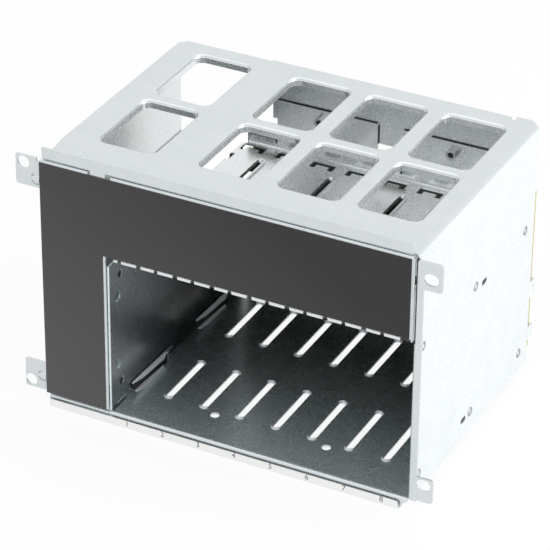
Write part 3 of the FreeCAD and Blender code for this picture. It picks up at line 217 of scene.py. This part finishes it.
def zincMaterial():
    # base zinc, blended into each region's colour, mostly painted shade and painted light, then into dark
    # specks, then into the painted shade of the gaps;
    # metallic = full metallic * (1 - right face loss) * (1 - rim loss) * (1 - gap shade), the first two
    # being painted light
    material, tree, shader = newMaterial("zincSheet")
    point = objectPoint(tree)
    mottle = noise(tree, point, zincLook["mottle"], 4.0, 0.6)
    grain = noise(tree, point, zincLook["grain"], 2.0)
    speckle = noise(tree, point, zincLook["speckle"], 5.0, 0.75)
    colour = blendColour(tree, (mottle - zincLook["shadeFrom"]).clamp(), zincLook["colour"],
                         zincLook["shade"])
    axes = separate(tree, point)
    # deep = (y - front) / length, foot = (height - z) / fall, both kept between 0 and 1
    deep = ((axes[1] - place(0, darken["front"], 0).y) / darken["deep"]).clamp()
    foot = ((place(0, 0, darken["high"]).z - axes[2]) / darken["fall"]).clamp()
    wallShade = (deep * darken["wallDeep"] + foot * darken["wallFoot"]).clamp()
    # painted shade darkens the bay towards its back and the guide wall towards its back and foot; the
    # bay's front is painted lighter than the zinc, painted light
    shades = {"bay": blendColour(tree, deep, zincLook["bay"], zincLook["bayDeep"]),
              "wall": blendColour(tree, wallShade, zincLook["wall"], zincLook["wallDeep"])}
    inside = {name: insideBox(axes, low, high) for name, (low, high) in regions.items()}
    for name, mask in inside.items():
        colour = blendColour(tree, mask, colour, shades.get(name, zincLook[name]))
    rear = insideBox(axes, *rearSpecks["box"]) * rearSpecks["share"] + zincLook["speckShare"]
    specks = ((speckle - zincLook["speckFrom"]) * zincLook["speckGain"]).clamp() * rear
    colour = blendColour(tree, specks, colour, zincLook["speck"])
    # painted shade in the gaps between sheets, on the shelf's front edge, at the guide wall's foot and
    # behind the sight holes
    gapShade = 0
    for low, high in paintedGapShades():
        gapShade = insideBox(axes, low, high) + gapShade
    gapShade = gapShade.clamp()
    colour = blendColour(tree, gapShade, colour, zincLook["gapShade"])
    # painted light: the right side's outer face, less metallic, renders whiter
    litRightFace = insideBox(axes, *paintedLight["box"])
    feed(tree, shader, {
        "Base Color": colour,
        "Metallic": (1 - litRightFace * paintedLight["loss"]) * (1 - inside["rims"] * paintedLight["rimLoss"]) * (1 - gapShade)
        * zincLook["metallic"],
        "Roughness": zincLook["roughness"] + (mottle - 0.5) * zincLook["roughMottle"]
        + (grain - 0.5) * zincLook["roughGrain"],
        "Normal": bump(tree, grain, zincLook["grainDepth"])})
    return material


plainLook = {"darker": 0.82, "roughVary": 0.1, "grain": 900.0, "depth": 0.1}


def plainMaterial(name, colour, roughness, metallic=0.0):
    # colour towards its darker shade by noise, and roughness plus a share of the noise about 0.5
    material, tree, shader = newMaterial(name)
    speck = noise(tree, objectPoint(tree), plainLook["grain"])
    darker = tuple(plainLook["darker"] * c for c in colour)
    feed(tree, shader, {"Base Color": blendColour(tree, speck, colour, darker),
                        "Metallic": metallic,
                        "Roughness": roughness + (speck - 0.5) * plainLook["roughVary"],
                        "Normal": bump(tree, speck, plainLook["depth"])})
    return material


filmLook = {"colour": (0.012, 0.0115, 0.013), "paleTone": (0.088, 0.084, 0.087),
            "fleck": (0.12, 0.12, 0.12), "roughness": 0.46, "roughVary": 0.1, "depth": 0.12,
            "grain": 1500.0, "dust": 420.0, "dustFrom": 0.70, "dustGain": 12, "dustShare": 0.6,
            "pale": 0.55, "paleFrom": 0.2}


def filmMaterial():
    # the black film pales towards its lower left corner and carries fine dust:
    # pale = share from the right * 0.55 + share from the top * 0.55 - 0.2
    material, tree, shader = newMaterial("blackFilm")
    point = objectPoint(tree)
    axes = separate(tree, point)
    low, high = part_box("front_fascia")
    pale = ((high.x - axes[0]) / (high.x - low.x) * filmLook["pale"]
            + (high.z - axes[2]) / (high.z - low.z) * filmLook["pale"] - filmLook["paleFrom"]).clamp()
    grain = noise(tree, point, filmLook["grain"])
    dust = ((noise(tree, point, filmLook["dust"], 2.0) - filmLook["dustFrom"])
            * filmLook["dustGain"]).clamp()
    colour = blendColour(tree, pale, filmLook["colour"], filmLook["paleTone"])
    feed(tree, shader, {
        "Base Color": blendColour(tree, dust * filmLook["dustShare"], colour, filmLook["fleck"]),
        "Roughness": filmLook["roughness"] + (grain - 0.5) * filmLook["roughVary"],
        "Normal": bump(tree, grain, filmLook["depth"])})
    return material


boardLook = {"face": (0.018, 0.042, 0.026), "edge": (0.42, 0.38, 0.15), "facing": 0.5,
             "weave": 700.0, "roughness": 0.42, "roughVary": 0.1, "depth": 0.08}


def boardMaterial():
    # green where the face looks along Y, bare laminate on the edges
    material, tree, shader = newMaterial("boardLaminate")
    normal = makeNode(tree, "ShaderNodeNewGeometry", output=1)
    along = separate(tree, normal)[1].size()
    weave = noise(tree, objectPoint(tree), boardLook["weave"], 2.0)
    colour = blendColour(tree, along > boardLook["facing"], boardLook["edge"], boardLook["face"])
    feed(tree, shader, {"Base Color": colour,
                        "Roughness": boardLook["roughness"] + (weave - 0.5) * boardLook["roughVary"],
                        "Normal": bump(tree, weave, boardLook["depth"])})
    return material


finishes = {
    "zinc_steel": zincMaterial(),
    "black_film": filmMaterial(),
    "board_laminate": boardMaterial(),
    "connector_black": plainMaterial("connectorBlack", (0.022, 0.022, 0.024), 0.45),
    "receptacle_steel": plainMaterial("receptacleTin", (0.62, 0.63, 0.64), 0.32, 0.95),
    "header_plastic": plainMaterial("headerPlastic", (0.62, 0.60, 0.50), 0.5),
    "chip_plastic": plainMaterial("chipPlastic", (0.03, 0.03, 0.03), 0.55),
    "fastener_steel": plainMaterial("fastenerZinc", (0.60, 0.61, 0.62), 0.32, 0.95),
}
zinc = finishes["zinc_steel"]
# extra finishes: ink is print; the darker joint zinc and the near-black finish are painted shade; the
# pale, barely metallic finish is painted highlight
extras = {
    "ink": plainMaterial("labelInk", (0.10, 0.10, 0.11), 0.6),
    "joint": plainMaterial("jointShadeZinc", (0.40, 0.42, 0.43), 0.35, 0.9),
    "edge": plainMaterial("paintedHighlight", (0.90, 0.91, 0.92), 0.4, 0.2),
    "hollow": plainMaterial("paintedShadeBlack", (0.02, 0.02, 0.022), 0.7),
}
for part in frame["record"]["subparts"]:
    slots = nodes[part["node"]].data.materials
    slots.clear()
    slots.append(finishes[part["material_slot"]])
print("finishes set:", len(finishes) + len(extras))


def gridFaces(rows, columns, closed):
    # quads between neighbouring rows and columns, joined round when closed
    i = np.arange(rows - 1)[:, None]
    j = np.arange(columns if closed else columns - 1)[None, :]
    k = (j + 1) % columns
    quads = np.stack([i * columns + j + 0 * i, i * columns + k, (i + 1) * columns + k,
                      (i + 1) * columns + j], -1)
    return quads.reshape(-1, 4)


def addPiece(name, points, faces, material, slot, smooth=True):
    # a mesh of the points and faces, riding on the root body; the slot argument is not used
    mesh = bpy.data.meshes.new(name)
    mesh.from_pydata(points.tolist(), [], faces)
    mesh.polygons.foreach_set("use_smooth", [smooth] * len(mesh.polygons))
    mesh.materials.append(material)
    mesh.update()
    piece = bpy.data.objects.new(name, mesh)
    bpy.context.scene.collection.objects.link(piece)
    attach(piece, "root")


def turnedPoints(profile, centre, axis, angle):
    # centre + radius * (cosine * first + sine * second) + rise * third, at each angle
    radius, rise = np.array(profile, float).T * metre
    first, second, third = axis
    points = (np.array(centre)[None, None, :]
              + radius[:, None, None] * (np.cos(angle)[None, :, None] * np.array(first)
                                         + np.sin(angle)[None, :, None] * np.array(second))
              + rise[:, None, None] * np.array(third))
    return points.reshape(-1, 3)


def turnedMesh(profile, centre, axis, steps=24):
    # a full turn, closed by a flat cap at either end of the profile
    points = turnedPoints(profile, centre, axis, np.arange(steps) * 2 * math.pi / steps)
    rows = len(profile)
    faces = gridFaces(rows, steps, True).tolist()
    faces.append(list(range((rows - 1) * steps, rows * steps)))
    faces.append(list(range(steps))[::-1])
    return points, faces


def arcMesh(profile, centre, axis, start, end, steps=14):
    # a ring's closed section carried through part of a turn, in degrees, with a cap at each end
    angle = np.radians(np.linspace(start, end, steps))
    loop = [*profile, profile[0]]
    points = turnedPoints(loop, centre, axis, angle)
    faces = gridFaces(len(loop), steps, False).tolist()
    ring = [i * steps for i in range(len(profile))]
    faces.append(ring)
    faces.append([i + steps - 1 for i in ring][::-1])
    return points, faces


def joinMeshes(parts):
    # the parts' points in one list, each part's faces counted on from the points before it
    points, faces, base = [], [], 0
    for partPoints, partFaces in parts:
        points.append(partPoints)
        faces += [[v + base for v in face] for face in partFaces]
        base += len(partPoints)
    return np.vstack(points), faces


def plateMesh(outline, thick):
    # the outline, counter-clockwise from outside, and the same outline moved by thick
    under = np.array([place(*spot) for spot in outline])
    count = len(outline)
    points = np.vstack([under, under + np.array(thick) * metre])
    first = np.arange(count)
    second = (first + 1) % count
    sides = np.stack([first, second, second + count, first + count], -1).tolist()
    return points, [list(range(count))[::-1], list(range(count, 2 * count)), *sides]


# first, second and third direction of a turned shape, the third one being its axis
xOut = ((0, 1, 0), (0, 0, 1), (1, 0, 0))
xIn = ((0, 0, 1), (0, 1, 0), (-1, 0, 0))
zUp = ((1, 0, 0), (0, 1, 0), (0, 0, 1))
yFront = ((1, 0, 0), (0, 0, 1), (0, -1, 0))

# the pressed joints that hold the sheets together, on both sides and on the top
joint = {"deep": (8.5, 60.5, 112.5), "heights": (7.0, 68.6), "right": 171.35, "left": 0,
         "top": (14.2, 9.7, 114.6),
         "profile": [(2.2, -0.05), (2.1, 0.12), (1.7, 0.28), (1.3, 0.22), (1.0, -0.02), (0.5, -0.05)]}
# the right side's joints take the darker joint zinc: painted shade in their dishes
rightJoints = [turnedMesh(joint["profile"], place(joint["right"], y, z), xOut)
               for y in joint["deep"] for z in joint["heights"]]
addPiece("rightJoints", *joinMeshes(rightJoints), extras["joint"], "zinc_steel")
leftJoints = [turnedMesh(joint["profile"], place(joint["left"], y, joint["heights"][0]), xIn)
              for y in joint["deep"]]
addPiece("leftJoints", *joinMeshes(leftJoints), zinc, "zinc_steel")
addPiece("topJoint", *turnedMesh(joint["profile"], place(*joint["top"]), zUp), zinc, "zinc_steel")
print("sheet joints made")

# the low openings beside the left wall: each row has a pale strip on its upper edge and one on its lower
# edge, painted highlight, and near-black sheets in its mouth and on the floor beside it, painted shade
mouth = {"rows": (0.0, 57.6), "wall": 32.25, "lift": 0.1, "floor": -0.89,
         "upperThick": (0.45, 0, 0), "lowerThick": (0, 0, 0.3),
         "hollowThick": (0.08, 0, 0), "shadeThick": (0, 0, 0.05),
         "upper": [(17.0, 4.1), (25.7, 2.2), (44.7, 1.1), (46.5, 2.9), (46.7, 4.2), (17.4, 4.9)],
         "hollow": [(17.0, 4.0), (17.6, 0.9), (20.5, -0.85), (48.0, -0.85), (48.3, 1.2), (46.6, 3.4)],
         "lower": [(32.3, 19.4), (33.5, 19.9), (34.5, 24.5), (34.5, 41.3), (33.4, 42.9), (32.4, 25.4)],
         "shade": [(32.3, 22.4), (32.4, 25.4), (33.4, 42.9), (33.9, 44.9), (33.2, 46.4), (32.3, 46.4)]}
edges = []
hollows = []
for row in mouth["rows"]:
    upper = [(mouth["wall"] + mouth["lift"], y + row, z) for y, z in mouth["upper"]]
    lower = [(x, y + row, mouth["floor"]) for x, y in mouth["lower"]]
    hollow = [(mouth["wall"], y + row, z) for y, z in mouth["hollow"]]
    shade = [(x, y + row, mouth["floor"]) for x, y in mouth["shade"]]
    edges += [plateMesh(upper, mouth["upperThick"]), plateMesh(lower, mouth["lowerThick"])]
    hollows += [plateMesh(hollow, mouth["hollowThick"]), plateMesh(shade, mouth["shadeThick"])]
addPiece("guideEdgeHighlights", *joinMeshes(edges), extras["edge"], "zinc_steel", False)
addPiece("guideMouthShades", *joinMeshes(hollows), extras["hollow"], "connector_black", False)
print("guide openings edged")

# raised rims round both ends of the floor's slots, apart from the column against the right side
rim = {"first": 47.15, "pitch": 17.2, "columns": 7, "near": 22.85, "far": 51.95, "rowPitch": 55.8,
       "rows": 2, "height": -0.9, "nearArc": (195, 345), "farArc": (15, 165),
       "section": [(2.25, -0.05), (2.1, 0.4), (1.75, 0.62), (1.5, 0.58), (1.46, -0.05)]}
rims = []
for row in range(rim["rows"]):
    for column in range(rim["columns"]):
        x = rim["first"] + rim["pitch"] * column
        near = place(x, rim["near"] + rim["rowPitch"] * row, rim["height"])
        far = place(x, rim["far"] + rim["rowPitch"] * row, rim["height"])
        rims.append(arcMesh(rim["section"], near, zUp, *rim["nearArc"]))
        rims.append(arcMesh(rim["section"], far, zUp, *rim["farArc"]))
# the rims take the pale, barely metallic finish: painted highlight
addPiece("slotRims", *joinMeshes(rims), extras["edge"], "zinc_steel")
print("slot rims made")

# bright crescents beyond the holes in the left wall, painted highlight, and near-black discs in their
# bores, painted shade
hole = {"places": ((9.4, 62.8), (9.4, 9.9)), "wall": 31.5, "arc": (-60, 60),
        "section": [(2.05, -0.02), (1.95, 0.14), (1.7, 0.16), (1.62, -0.02)],
        "bore": [(1.6, -0.04), (1.6, 0.04)]}
centres = [place(hole["wall"], y, z) for y, z in hole["places"]]
crescents = [arcMesh(hole["section"], centre, xOut, *hole["arc"]) for centre in centres]
addPiece("wallHoleHighlights", *joinMeshes(crescents), extras["edge"], "zinc_steel")
bores = [turnedMesh(hole["bore"], centre, xOut) for centre in centres]
addPiece("wallHoleShades", *joinMeshes(bores), extras["hollow"], "connector_black", False)
print("wall holes edged")

# a pressed gusset on each left ear, which widens and rises from its tip to the bend
gusset = {"tip": -6.0, "root": -0.4, "front": 1.0, "heights": (103.4, 6.9), "half": 2.5, "rise": 1.1,
          "start": 0.03, "sink": 0.03, "base": 0.05, "widen": 0.7, "round": 0.8,
          "along": 12, "across": 13}


def gussetMesh(height):
    # u runs from tip to root and v across: z = height + half * v * u^0.7, and
    # y = front - rise * (1 - v * v)^0.8 * u, over a flat base just behind the ear's face
    u = np.linspace(gusset["start"], 1, gusset["along"])[:, None]
    v = np.linspace(-1, 1, gusset["across"])[None, :]
    x = gusset["tip"] + (gusset["root"] - gusset["tip"]) * u + 0 * v
    z = height + gusset["half"] * v * u ** gusset["widen"]
    y = gusset["front"] + gusset["sink"] - gusset["rise"] * (1 - v ** 2) ** gusset["round"] * u
    top = np.stack([x, y, z], -1)
    base = np.stack([x, 0 * y + gusset["front"] + gusset["base"], z], -1)
    points = np.array(corner) + np.vstack([top.reshape(-1, 3), base.reshape(-1, 3)]) * metre
    rows, columns = top.shape[:2]
    quads = gridFaces(rows, columns, False)
    shift = rows * columns
    edge = ([i * columns for i in range(rows)] + [(rows - 1) * columns + j for j in range(1, columns)]
            + [i * columns + columns - 1 for i in range(rows - 2, -1, -1)]
            + list(range(columns - 2, -1, -1)))
    walls = [[a, a + shift, b + shift, b] for a, b in zip(edge, edge[1:])]
    return points, quads[:, ::-1].tolist() + (quads + shift).tolist() + walls


addPiece("earGussets", *joinMeshes([gussetMesh(z) for z in gusset["heights"]]), zinc, "zinc_steel")

# a thin dark arc round each gusset, painted shade along its edge
gussetShade = {"x": -2.2, "arc": (120, 290), "section": [(2.75, -0.03), (2.6, 0.1), (2.4, 0.12), (2.2, -0.03)]}
gussetShades = [arcMesh(gussetShade["section"], place(gussetShade["x"], gusset["front"], z), yFront, *gussetShade["arc"])
           for z in gusset["heights"]]
addPiece("gussetShadeArcs", *joinMeshes(gussetShades), extras["joint"], "zinc_steel")
print("ear gussets made")

# the front plate's right end stands beside the side's bend
plateEnd = {"left": 169.55, "right": 170.3, "back": 0.35, "low": 74.6, "high": 112.9}
endOutline = [(plateEnd[across], plateEnd["back"], plateEnd[up]) for across, up in
              (("left", "low"), ("right", "low"), ("right", "high"), ("left", "high"))]
addPiece("plateEnd", *plateMesh(endOutline, (0, -plateEnd["back"], 0)), zinc, "zinc_steel", False)
print("front plate's end made")

# a raised ring on the front of each clinch nut, and a near-black disc in its bore, painted shade
nut = {"places": (69.2, 132.1), "height": 91.3, "bore": [(1.35, -0.04), (1.35, 0.04)],
       "ring": [(2.35, -0.05), (2.3, 0.1), (1.95, 0.24), (1.5, 0.12), (1.25, -0.02)]}
nutFront = (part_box("clinch_nuts")[0].y - corner.y) / metre
fronts = [place(x, nutFront, nut["height"]) for x in nut["places"]]
addPiece("nutRings", *joinMeshes([turnedMesh(nut["ring"], front, yFront) for front in fronts]),
         finishes["fastener_steel"], "fastener_steel")
addPiece("nutBoreShades", *joinMeshes([turnedMesh(nut["bore"], front, yFront) for front in fronts]),
         extras["hollow"], "connector_black", False)
print("clinch nuts finished")

# the bays' numbers along the lip
numbers = {"size": 3.6, "height": -3.4, "rise": 0.02, "first": 40.2, "pitch": 17.05, "count": 8}


def makeNumbers():
    # each digit's flat outline, stood up on the lip's front at first + pitch * its place in the row
    digits = []
    leafFront = (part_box("base_plate")[0].y - corner.y) / metre
    for i in range(numbers["count"]):
        text = bpy.data.curves.new("bayNumber", "FONT")
        text.body = str(i + 1)
        text.size = numbers["size"] * metre
        text.align_x = "CENTER"
        text.align_y = "CENTER"
        holder = bpy.data.objects.new("bayNumber", text)
        bpy.context.scene.collection.objects.link(holder)
        bpy.context.view_layer.update()
        flat = bpy.data.meshes.new_from_object(holder)
        flatPoints = np.array([v.co for v in flat.vertices])
        centre = place(numbers["first"] + numbers["pitch"] * i, leafFront - numbers["rise"],
                       numbers["height"])
        points = np.array(centre) + flatPoints[:, [0, 2, 1]]
        digits.append((points, [list(p.vertices) for p in flat.polygons]))
        bpy.data.objects.remove(holder)
        bpy.data.meshes.remove(flat)
        bpy.data.curves.remove(text)
    addPiece("bayNumbers", *joinMeshes(digits), extras["ink"], "black_film", False)


makeNumbers()
print("bay numbers made")

studio = {"world": 0.80, "floorTone": 0.92, "floorRough": 0.9, "floorShown": 0.9, "half": 4.0}


def shownRays(tree):
    # 1 for rays that come from the camera or by way of metal or glass
    path = tree.nodes.new("ShaderNodeLightPath")
    rays = [Sock(tree, path.outputs[name])
            for name in ("Is Camera Ray", "Is Glossy Ray", "Is Transmission Ray")]
    return (rays[0] + rays[1] + rays[2]).clamp()


def makeStage():
    # a pale floor that glows white by floorShown for the shown rays, and takes shadows by the rest
    material, tree, shader = newMaterial("paleFloor")
    feed(tree, shader, {"Base Color": (studio["floorTone"],) * 3 + (1,),
                        "Roughness": studio["floorRough"]})
    glow = makeNode(tree, "ShaderNodeEmission", values={"Color": (1, 1, 1, 1), "Strength": 1.0})
    mixed = makeNode(tree, "ShaderNodeMixShader",
                     values=[shownRays(tree) * studio["floorShown"], Sock(tree, shader.outputs[0]), glow])
    tree.links.new(mixed.socket, tree.nodes["Material Output"].inputs[0])
    half = studio["half"]
    mesh = bpy.data.meshes.new("floor")
    mesh.from_pydata([(-half, -half, 0), (half, -half, 0), (half, half, 0), (-half, half, 0)],
                     [], [(0, 1, 2, 3)])
    mesh.materials.append(material)
    floor = bpy.data.objects.new("floor", mesh)
    bpy.context.scene.collection.objects.link(floor)


def makeWorld():
    # white at full strength for the shown rays and at the world's strength for the rest
    world = bpy.data.worlds.new("studio")
    bpy.context.scene.world = world
    world.use_nodes = True
    tree = world.node_tree
    back = tree.nodes["Background"]
    strength = shownRays(tree) * (1 - studio["world"]) + studio["world"]
    back.inputs["Color"].default_value = (1, 1, 1, 1)
    tree.links.new(strength.socket, back.inputs["Strength"])


lamps = {
    "high": {"at": (110, 20, 900), "aim": (90, 60, 60), "size": 1.2, "power": 1.5},
    "right": {"at": (900, 90, 300), "aim": (171, 60, 50), "size": 0.7, "power": 4.5},
}


def makeLamps():
    # each lamp is a disk that looks from its place to its aim
    for name, lamp in lamps.items():
        light = bpy.data.lights.new(name, "AREA")
        light.shape = "DISK"
        light.size = lamp["size"]
        light.energy = lamp["power"]
        holder = bpy.data.objects.new(name, light)
        bpy.context.scene.collection.objects.link(holder)
        start = place(*lamp["at"])
        aim = place(*lamp["aim"]) - start
        holder.matrix_world = (Matrix.Translation(start)
                               @ aim.to_track_quat("-Z", "Y").to_matrix().to_4x4())


viewpoint = {"at": (580.5, -935.9, 714.0), "forward": (-0.3897, 0.7667, -0.5102),
             "right": (0.8897, 0.4566, 0.0066), "lens": 199.1, "sensor": 36, "nearest": 0.01,
             "shift": (0.0173, -0.0142)}


def makeCamera():
    # up = right x forward, and right is squared up to both as forward x up
    lens = bpy.data.cameras.new("view")
    lens.lens = viewpoint["lens"]
    lens.sensor_width = viewpoint["sensor"]
    lens.shift_x, lens.shift_y = viewpoint["shift"]
    lens.clip_start = viewpoint["nearest"]
    holder = bpy.data.objects.new("view", lens)
    bpy.context.scene.collection.objects.link(holder)
    forward = Vector(viewpoint["forward"]).normalized()
    right = Vector(viewpoint["right"]).normalized()
    up = right.cross(forward).normalized()
    right = forward.cross(up)
    turn = Matrix((right, up, -forward)).transposed().to_4x4()
    holder.matrix_world = Matrix.Translation(place(*viewpoint["at"])) @ turn
    bpy.context.scene.camera = holder


makeStage()
makeWorld()
makeLamps()
makeCamera()
bpy.context.scene.view_settings.view_transform = "Standard"
print("stage, lights and camera set")
